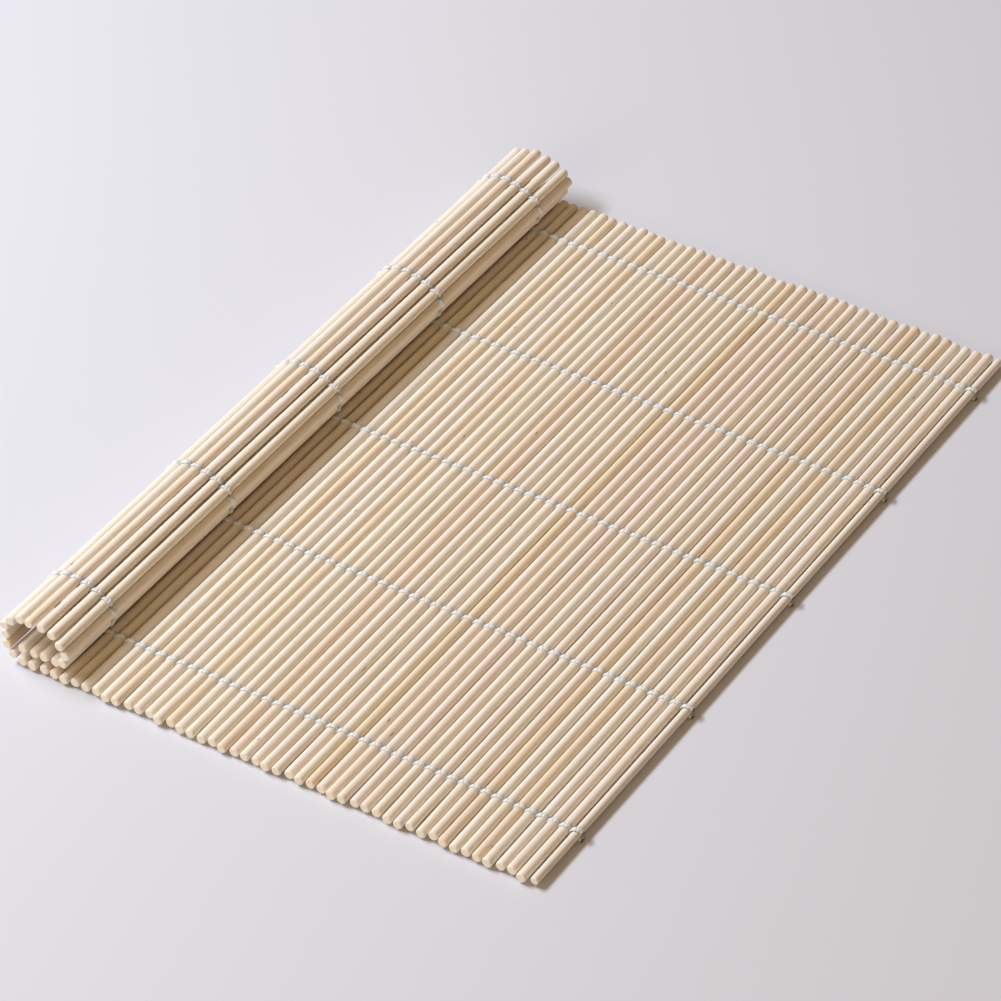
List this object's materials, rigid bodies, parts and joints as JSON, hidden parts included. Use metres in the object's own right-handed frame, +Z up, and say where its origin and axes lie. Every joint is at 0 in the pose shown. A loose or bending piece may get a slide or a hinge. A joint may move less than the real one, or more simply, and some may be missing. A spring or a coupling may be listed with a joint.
{
  "type": "sushi rolling mat",
  "caption": "Sushi rolling mat: thin bamboo sticks side by side, twined together by cotton cords, lying flat with one end rolled over and its tip tucked inside.",
  "frame": {"origin": "on the table, under the middle of the whole mat", "axes": "+X along the cords, from the rolled end to the free edge; +Y along the sticks; +Z up"},
  "size_m": [0.159, 0.24, 0.0176],
  "materials": {
    "bamboo": "satin, split and rounded bamboo",
    "cotton_cord": "matt twined cotton"
  },
  "bodies": {
    "bed": {"bed_stick_1": "bamboo", "bed_sticks_2_and_3": "bamboo", "bed_stick_4": "bamboo", "bed_stick_5": "bamboo"},
    "field_stick_43": {"field_stick_43": "bamboo"},
    "field_stick_42": {"field_stick_42": "bamboo"},
    "field_stick_41": {"field_stick_41": "bamboo"},
    "field_stick_40": {"field_stick_40": "bamboo"},
    "field_stick_39": {"field_stick_39": "bamboo"},
    "field_stick_38": {"field_stick_38": "bamboo"},
    "field_stick_37": {"field_stick_37": "bamboo"},
    "field_stick_36": {"field_stick_36": "bamboo"},
    "field_stick_35": {"field_stick_35": "bamboo"},
    "field_stick_34": {"field_stick_34": "bamboo"},
    "field_stick_33": {"field_stick_33": "bamboo"},
    "field_stick_32": {"field_stick_32": "bamboo"},
    "field_stick_31": {"field_stick_31": "bamboo"},
    "field_stick_30": {"field_stick_30": "bamboo"},
    "field_stick_29": {"field_stick_29": "bamboo"},
    "field_stick_28": {"field_stick_28": "bamboo"},
    "field_stick_27": {"field_stick_27": "bamboo"},
    "field_stick_26": {"field_stick_26": "bamboo"},
    "field_stick_25": {"field_stick_25": "bamboo"},
    "field_stick_24": {"field_stick_24": "bamboo"},
    "field_stick_23": {"field_stick_23": "bamboo"},
    "field_stick_22": {"field_stick_22": "bamboo"},
    "field_stick_21": {"field_stick_21": "bamboo"},
    "field_stick_20": {"field_stick_20": "bamboo"},
    "field_stick_19": {"field_stick_19": "bamboo"},
    "field_stick_18": {"field_stick_18": "bamboo"},
    "field_stick_17": {"field_stick_17": "bamboo"},
    "field_stick_16": {"field_stick_16": "bamboo"},
    "field_stick_15": {"field_stick_15": "bamboo"},
    "field_stick_14": {"field_stick_14": "bamboo"},
    "field_stick_13": {"field_stick_13": "bamboo"},
    "field_stick_12": {"field_stick_12": "bamboo"},
    "field_stick_11": {"field_stick_11": "bamboo"},
    "field_stick_10": {"field_stick_10": "bamboo"},
    "field_stick_09": {"field_stick_09": "bamboo"},
    "field_stick_08": {"field_stick_08": "bamboo"},
    "field_stick_07": {"field_stick_07": "bamboo"},
    "field_stick_06": {"field_stick_06": "bamboo"},
    "field_stick_05": {"field_stick_05": "bamboo"},
    "field_stick_04": {"field_stick_04": "bamboo"},
    "field_stick_03": {"field_stick_03": "bamboo"},
    "field_stick_02": {"field_stick_02": "bamboo"},
    "field_stick_01": {"field_stick_01": "bamboo"},
    "roll_stick_01": {"roll_stick_01": "bamboo"},
    "roll_stick_02": {"roll_stick_02": "bamboo"},
    "roll_stick_03": {"roll_stick_03": "bamboo"},
    "roll_stick_04": {"roll_stick_04": "bamboo"},
    "roll_stick_05": {"roll_stick_05": "bamboo"},
    "roll_stick_06": {"roll_stick_06": "bamboo"},
    "roll_stick_07": {"roll_stick_07": "bamboo"},
    "roll_stick_08": {"roll_stick_08": "bamboo"},
    "roll_stick_09": {"roll_stick_09": "bamboo"},
    "roll_stick_10": {"roll_stick_10": "bamboo"},
    "roll_stick_11": {"roll_stick_11": "bamboo"},
    "roll_stick_12": {"roll_stick_12": "bamboo"},
    "tucked_end": {"tucked_end": "bamboo"}
  },
  "joints": [
    {"name": "hinge_field_stick_43", "type": "hinge", "parent": "bed", "child": "field_stick_43", "pos_m": [-0.05802, 0, 0.00185], "axis": [0, -1, 0], "range_deg": [0, 4]},
    {"name": "hinge_field_stick_42", "type": "hinge", "parent": "field_stick_43", "child": "field_stick_42", "pos_m": [-0.05482, 0, 0.00185], "axis": [0, -1, 0], "range_deg": [0, 4.29]},
    {"name": "hinge_field_stick_41", "type": "hinge", "parent": "field_stick_42", "child": "field_stick_41", "pos_m": [-0.05162, 0, 0.00185], "axis": [0, -1, 0], "range_deg": [0, 4.57]},
    {"name": "hinge_field_stick_40", "type": "hinge", "parent": "field_stick_41", "child": "field_stick_40", "pos_m": [-0.04842, 0, 0.00185], "axis": [0, -1, 0], "range_deg": [0, 4.86]},
    {"name": "hinge_field_stick_39", "type": "hinge", "parent": "field_stick_40", "child": "field_stick_39", "pos_m": [-0.04522, 0, 0.00185], "axis": [0, -1, 0], "range_deg": [0, 5.14]},
    {"name": "hinge_field_stick_38", "type": "hinge", "parent": "field_stick_39", "child": "field_stick_38", "pos_m": [-0.04202, 0, 0.00185], "axis": [0, -1, 0], "range_deg": [0, 5.43]},
    {"name": "hinge_field_stick_37", "type": "hinge", "parent": "field_stick_38", "child": "field_stick_37", "pos_m": [-0.03882, 0, 0.00185], "axis": [0, -1, 0], "range_deg": [0, 5.71]},
    {"name": "hinge_field_stick_36", "type": "hinge", "parent": "field_stick_37", "child": "field_stick_36", "pos_m": [-0.03562, 0, 0.00185], "axis": [0, -1, 0], "range_deg": [0, 6]},
    {"name": "hinge_field_stick_35", "type": "hinge", "parent": "field_stick_36", "child": "field_stick_35", "pos_m": [-0.03242, 0, 0.00185], "axis": [0, -1, 0], "range_deg": [0, 6.29]},
    {"name": "hinge_field_stick_34", "type": "hinge", "parent": "field_stick_35", "child": "field_stick_34", "pos_m": [-0.02922, 0, 0.00185], "axis": [0, -1, 0], "range_deg": [0, 6.57]},
    {"name": "hinge_field_stick_33", "type": "hinge", "parent": "field_stick_34", "child": "field_stick_33", "pos_m": [-0.02602, 0, 0.00185], "axis": [0, -1, 0], "range_deg": [0, 6.86]},
    {"name": "hinge_field_stick_32", "type": "hinge", "parent": "field_stick_33", "child": "field_stick_32", "pos_m": [-0.02282, 0, 0.00185], "axis": [0, -1, 0], "range_deg": [0, 7.14]},
    {"name": "hinge_field_stick_31", "type": "hinge", "parent": "field_stick_32", "child": "field_stick_31", "pos_m": [-0.01962, 0, 0.00185], "axis": [0, -1, 0], "range_deg": [0, 7.43]},
    {"name": "hinge_field_stick_30", "type": "hinge", "parent": "field_stick_31", "child": "field_stick_30", "pos_m": [-0.01642, 0, 0.00185], "axis": [0, -1, 0], "range_deg": [0, 7.72]},
    {"name": "hinge_field_stick_29", "type": "hinge", "parent": "field_stick_30", "child": "field_stick_29", "pos_m": [-0.01322, 0, 0.00185], "axis": [0, -1, 0], "range_deg": [0, 8]},
    {"name": "hinge_field_stick_28", "type": "hinge", "parent": "field_stick_29", "child": "field_stick_28", "pos_m": [-0.01002, 0, 0.00185], "axis": [0, -1, 0], "range_deg": [0, 8.29]},
    {"name": "hinge_field_stick_27", "type": "hinge", "parent": "field_stick_28", "child": "field_stick_27", "pos_m": [-0.00682, 0, 0.00185], "axis": [0, -1, 0], "range_deg": [0, 8.57]},
    {"name": "hinge_field_stick_26", "type": "hinge", "parent": "field_stick_27", "child": "field_stick_26", "pos_m": [-0.00362, 0, 0.00185], "axis": [0, -1, 0], "range_deg": [0, 8.86]},
    {"name": "hinge_field_stick_25", "type": "hinge", "parent": "field_stick_26", "child": "field_stick_25", "pos_m": [-0.00042, 0, 0.00185], "axis": [0, -1, 0], "range_deg": [0, 9.14]},
    {"name": "hinge_field_stick_24", "type": "hinge", "parent": "field_stick_25", "child": "field_stick_24", "pos_m": [0.00278, 0, 0.00185], "axis": [0, -1, 0], "range_deg": [0, 9.43]},
    {"name": "hinge_field_stick_23", "type": "hinge", "parent": "field_stick_24", "child": "field_stick_23", "pos_m": [0.00598, 0, 0.00185], "axis": [0, -1, 0], "range_deg": [0, 9.72]},
    {"name": "hinge_field_stick_22", "type": "hinge", "parent": "field_stick_23", "child": "field_stick_22", "pos_m": [0.00918, 0, 0.00185], "axis": [0, -1, 0], "range_deg": [0, 10]},
    {"name": "hinge_field_stick_21", "type": "hinge", "parent": "field_stick_22", "child": "field_stick_21", "pos_m": [0.01238, 0, 0.00185], "axis": [0, -1, 0], "range_deg": [0, 10.29]},
    {"name": "hinge_field_stick_20", "type": "hinge", "parent": "field_stick_21", "child": "field_stick_20", "pos_m": [0.01558, 0, 0.00185], "axis": [0, -1, 0], "range_deg": [0, 10.57]},
    {"name": "hinge_field_stick_19", "type": "hinge", "parent": "field_stick_20", "child": "field_stick_19", "pos_m": [0.01878, 0, 0.00185], "axis": [0, -1, 0], "range_deg": [0, 10.86]},
    {"name": "hinge_field_stick_18", "type": "hinge", "parent": "field_stick_19", "child": "field_stick_18", "pos_m": [0.02198, 0, 0.00185], "axis": [0, -1, 0], "range_deg": [0, 11.14]},
    {"name": "hinge_field_stick_17", "type": "hinge", "parent": "field_stick_18", "child": "field_stick_17", "pos_m": [0.02518, 0, 0.00185], "axis": [0, -1, 0], "range_deg": [0, 11.43]},
    {"name": "hinge_field_stick_16", "type": "hinge", "parent": "field_stick_17", "child": "field_stick_16", "pos_m": [0.02838, 0, 0.00185], "axis": [0, -1, 0], "range_deg": [0, 11.72]},
    {"name": "hinge_field_stick_15", "type": "hinge", "parent": "field_stick_16", "child": "field_stick_15", "pos_m": [0.03158, 0, 0.00185], "axis": [0, -1, 0], "range_deg": [0, 12]},
    {"name": "hinge_field_stick_14", "type": "hinge", "parent": "field_stick_15", "child": "field_stick_14", "pos_m": [0.03478, 0, 0.00185], "axis": [0, -1, 0], "range_deg": [0, 12.29]},
    {"name": "hinge_field_stick_13", "type": "hinge", "parent": "field_stick_14", "child": "field_stick_13", "pos_m": [0.03798, 0, 0.00185], "axis": [0, -1, 0], "range_deg": [0, 12.57]},
    {"name": "hinge_field_stick_12", "type": "hinge", "parent": "field_stick_13", "child": "field_stick_12", "pos_m": [0.04118, 0, 0.00185], "axis": [0, -1, 0], "range_deg": [0, 12.86]},
    {"name": "hinge_field_stick_11", "type": "hinge", "parent": "field_stick_12", "child": "field_stick_11", "pos_m": [0.04438, 0, 0.00185], "axis": [0, -1, 0], "range_deg": [0, 13.14]},
    {"name": "hinge_field_stick_10", "type": "hinge", "parent": "field_stick_11", "child": "field_stick_10", "pos_m": [0.04758, 0, 0.00185], "axis": [0, -1, 0], "range_deg": [0, 13.43]},
    {"name": "hinge_field_stick_09", "type": "hinge", "parent": "field_stick_10", "child": "field_stick_09", "pos_m": [0.05078, 0, 0.00185], "axis": [0, -1, 0], "range_deg": [0, 13.71]},
    {"name": "hinge_field_stick_08", "type": "hinge", "parent": "field_stick_09", "child": "field_stick_08", "pos_m": [0.05398, 0, 0.00185], "axis": [0, -1, 0], "range_deg": [0, 14]},
    {"name": "hinge_field_stick_07", "type": "hinge", "parent": "field_stick_08", "child": "field_stick_07", "pos_m": [0.05718, 0, 0.00185], "axis": [0, -1, 0], "range_deg": [0, 14.29]},
    {"name": "hinge_field_stick_06", "type": "hinge", "parent": "field_stick_07", "child": "field_stick_06", "pos_m": [0.06038, 0, 0.00185], "axis": [0, -1, 0], "range_deg": [0, 14.57]},
    {"name": "hinge_field_stick_05", "type": "hinge", "parent": "field_stick_06", "child": "field_stick_05", "pos_m": [0.06358, 0, 0.00185], "axis": [0, -1, 0], "range_deg": [0, 14.86]},
    {"name": "hinge_field_stick_04", "type": "hinge", "parent": "field_stick_05", "child": "field_stick_04", "pos_m": [0.06678, 0, 0.00185], "axis": [0, -1, 0], "range_deg": [0, 15.14]},
    {"name": "hinge_field_stick_03", "type": "hinge", "parent": "field_stick_04", "child": "field_stick_03", "pos_m": [0.06998, 0, 0.00185], "axis": [0, -1, 0], "range_deg": [0, 15.43]},
    {"name": "hinge_field_stick_02", "type": "hinge", "parent": "field_stick_03", "child": "field_stick_02", "pos_m": [0.07318, 0, 0.00185], "axis": [0, -1, 0], "range_deg": [0, 15.72]},
    {"name": "hinge_field_stick_01", "type": "hinge", "parent": "field_stick_02", "child": "field_stick_01", "pos_m": [0.07638, 0, 0.00185], "axis": [0, -1, 0], "range_deg": [0, 16]},
    {"name": "hinge_roll_stick_01", "type": "hinge", "parent": "bed", "child": "roll_stick_01", "pos_m": [-0.07402, 0, 0.00185], "axis": [0, -1, 0], "range_deg": [0, 42]},
    {"name": "hinge_roll_stick_02", "type": "hinge", "parent": "roll_stick_01", "child": "roll_stick_02", "pos_m": [-0.0764, 0, 0.00399], "axis": [0, -1, 0], "range_deg": [0, 26]},
    {"name": "hinge_roll_stick_03", "type": "hinge", "parent": "roll_stick_02", "child": "roll_stick_03", "pos_m": [-0.07759, 0, 0.00696], "axis": [0, -1, 0], "range_deg": [0, 21]},
    {"name": "hinge_roll_stick_04", "type": "hinge", "parent": "roll_stick_03", "child": "roll_stick_04", "pos_m": [-0.07765, 0, 0.01016], "axis": [0, -1, 0], "range_deg": [0, 26]},
    {"name": "hinge_roll_stick_05", "type": "hinge", "parent": "roll_stick_04", "child": "roll_stick_05", "pos_m": [-0.0763, 0, 0.01306], "axis": [0, -1, 0], "range_deg": [0, 27]},
    {"name": "hinge_roll_stick_06", "type": "hinge", "parent": "roll_stick_05", "child": "roll_stick_06", "pos_m": [-0.07378, 0, 0.01503], "axis": [0, -1, 0], "range_deg": [0, 23]},
    {"name": "hinge_roll_stick_07", "type": "hinge", "parent": "roll_stick_06", "child": "roll_stick_07", "pos_m": [-0.07069, 0, 0.01586], "axis": [0, -1, 0], "range_deg": [0, 18.44]},
    {"name": "hinge_roll_stick_08", "type": "hinge", "parent": "roll_stick_07", "child": "roll_stick_08", "pos_m": [-0.06749, 0, 0.01566], "axis": [0, -1, 0], "range_deg": [0, 14]},
    {"name": "hinge_roll_stick_09", "type": "hinge", "parent": "roll_stick_08", "child": "roll_stick_09", "pos_m": [-0.06444, 0, 0.0147], "axis": [0, -1, 0], "range_deg": [0, 8]},
    {"name": "hinge_roll_stick_10", "type": "hinge", "parent": "roll_stick_09", "child": "roll_stick_10", "pos_m": [-0.06155, 0, 0.01333], "axis": [0, -1, 0], "range_deg": [-3, 0]},
    {"name": "hinge_roll_stick_11", "type": "hinge", "parent": "roll_stick_10", "child": "roll_stick_11", "pos_m": [-0.05903, 0, 0.01136], "axis": [0, -1, 0], "range_deg": [-3, 0]},
    {"name": "hinge_roll_stick_12", "type": "hinge", "parent": "roll_stick_11", "child": "roll_stick_12", "pos_m": [-0.05869, 0, 0.00818], "axis": [0, -1, 0], "range_deg": [-3, 0]},
    {"name": "hinge_tucked_end", "type": "hinge", "parent": "roll_stick_12", "child": "tucked_end", "pos_m": [-0.06083, 0, 0.0058], "axis": [0, -1, 0], "range_deg": [-9, 0]}
  ],
  "couplings": [
    {"joint": "hinge_field_stick_42", "follows": "hinge_field_stick_43", "ratio": 1.0714},
    {"joint": "hinge_field_stick_41", "follows": "hinge_field_stick_43", "ratio": 1.1429},
    {"joint": "hinge_field_stick_40", "follows": "hinge_field_stick_43", "ratio": 1.2143},
    {"joint": "hinge_field_stick_39", "follows": "hinge_field_stick_43", "ratio": 1.2857},
    {"joint": "hinge_field_stick_38", "follows": "hinge_field_stick_43", "ratio": 1.3571},
    {"joint": "hinge_field_stick_36", "follows": "hinge_field_stick_37", "ratio": 1.0501},
    {"joint": "hinge_field_stick_35", "follows": "hinge_field_stick_37", "ratio": 1.1001},
    {"joint": "hinge_field_stick_34", "follows": "hinge_field_stick_37", "ratio": 1.1501},
    {"joint": "hinge_field_stick_33", "follows": "hinge_field_stick_37", "ratio": 1.2001},
    {"joint": "hinge_field_stick_32", "follows": "hinge_field_stick_37", "ratio": 1.2501},
    {"joint": "hinge_field_stick_30", "follows": "hinge_field_stick_31", "ratio": 1.0384},
    {"joint": "hinge_field_stick_29", "follows": "hinge_field_stick_31", "ratio": 1.0769},
    {"joint": "hinge_field_stick_28", "follows": "hinge_field_stick_31", "ratio": 1.1153},
    {"joint": "hinge_field_stick_27", "follows": "hinge_field_stick_31", "ratio": 1.1538},
    {"joint": "hinge_field_stick_26", "follows": "hinge_field_stick_31", "ratio": 1.1922},
    {"joint": "hinge_field_stick_24", "follows": "hinge_field_stick_25", "ratio": 1.0312},
    {"joint": "hinge_field_stick_23", "follows": "hinge_field_stick_25", "ratio": 1.0625},
    {"joint": "hinge_field_stick_22", "follows": "hinge_field_stick_25", "ratio": 1.0937},
    {"joint": "hinge_field_stick_21", "follows": "hinge_field_stick_25", "ratio": 1.125},
    {"joint": "hinge_field_stick_20", "follows": "hinge_field_stick_25", "ratio": 1.1562},
    {"joint": "hinge_field_stick_18", "follows": "hinge_field_stick_19", "ratio": 1.0263},
    {"joint": "hinge_field_stick_17", "follows": "hinge_field_stick_19", "ratio": 1.0526},
    {"joint": "hinge_field_stick_16", "follows": "hinge_field_stick_19", "ratio": 1.079},
    {"joint": "hinge_field_stick_15", "follows": "hinge_field_stick_19", "ratio": 1.1053},
    {"joint": "hinge_field_stick_14", "follows": "hinge_field_stick_19", "ratio": 1.1316},
    {"joint": "hinge_field_stick_12", "follows": "hinge_field_stick_13", "ratio": 1.0228},
    {"joint": "hinge_field_stick_11", "follows": "hinge_field_stick_13", "ratio": 1.0455},
    {"joint": "hinge_field_stick_10", "follows": "hinge_field_stick_13", "ratio": 1.0682},
    {"joint": "hinge_field_stick_09", "follows": "hinge_field_stick_13", "ratio": 1.0909},
    {"joint": "hinge_field_stick_08", "follows": "hinge_field_stick_13", "ratio": 1.1137},
    {"joint": "hinge_field_stick_06", "follows": "hinge_field_stick_07", "ratio": 1.02},
    {"joint": "hinge_field_stick_05", "follows": "hinge_field_stick_07", "ratio": 1.04},
    {"joint": "hinge_field_stick_04", "follows": "hinge_field_stick_07", "ratio": 1.06},
    {"joint": "hinge_field_stick_03", "follows": "hinge_field_stick_07", "ratio": 1.08},
    {"joint": "hinge_field_stick_02", "follows": "hinge_field_stick_07", "ratio": 1.1},
    {"joint": "hinge_field_stick_01", "follows": "hinge_field_stick_07", "ratio": 1.12},
    {"joint": "hinge_roll_stick_02", "follows": "hinge_roll_stick_01", "ratio": 0.619},
    {"joint": "hinge_roll_stick_03", "follows": "hinge_roll_stick_01", "ratio": 0.5},
    {"joint": "hinge_roll_stick_04", "follows": "hinge_roll_stick_01", "ratio": 0.619},
    {"joint": "hinge_roll_stick_05", "follows": "hinge_roll_stick_01", "ratio": 0.6429},
    {"joint": "hinge_roll_stick_06", "follows": "hinge_roll_stick_01", "ratio": 0.5476},
    {"joint": "hinge_roll_stick_07", "follows": "hinge_roll_stick_01", "ratio": 0.439},
    {"joint": "hinge_roll_stick_08", "follows": "hinge_roll_stick_01", "ratio": 0.3333},
    {"joint": "hinge_roll_stick_09", "follows": "hinge_roll_stick_01", "ratio": 0.1905},
    {"joint": "hinge_roll_stick_11", "follows": "hinge_roll_stick_10", "ratio": 1},
    {"joint": "hinge_roll_stick_12", "follows": "hinge_roll_stick_10", "ratio": 1},
    {"joint": "hinge_tucked_end", "follows": "hinge_roll_stick_10", "ratio": 3}
  ]
}
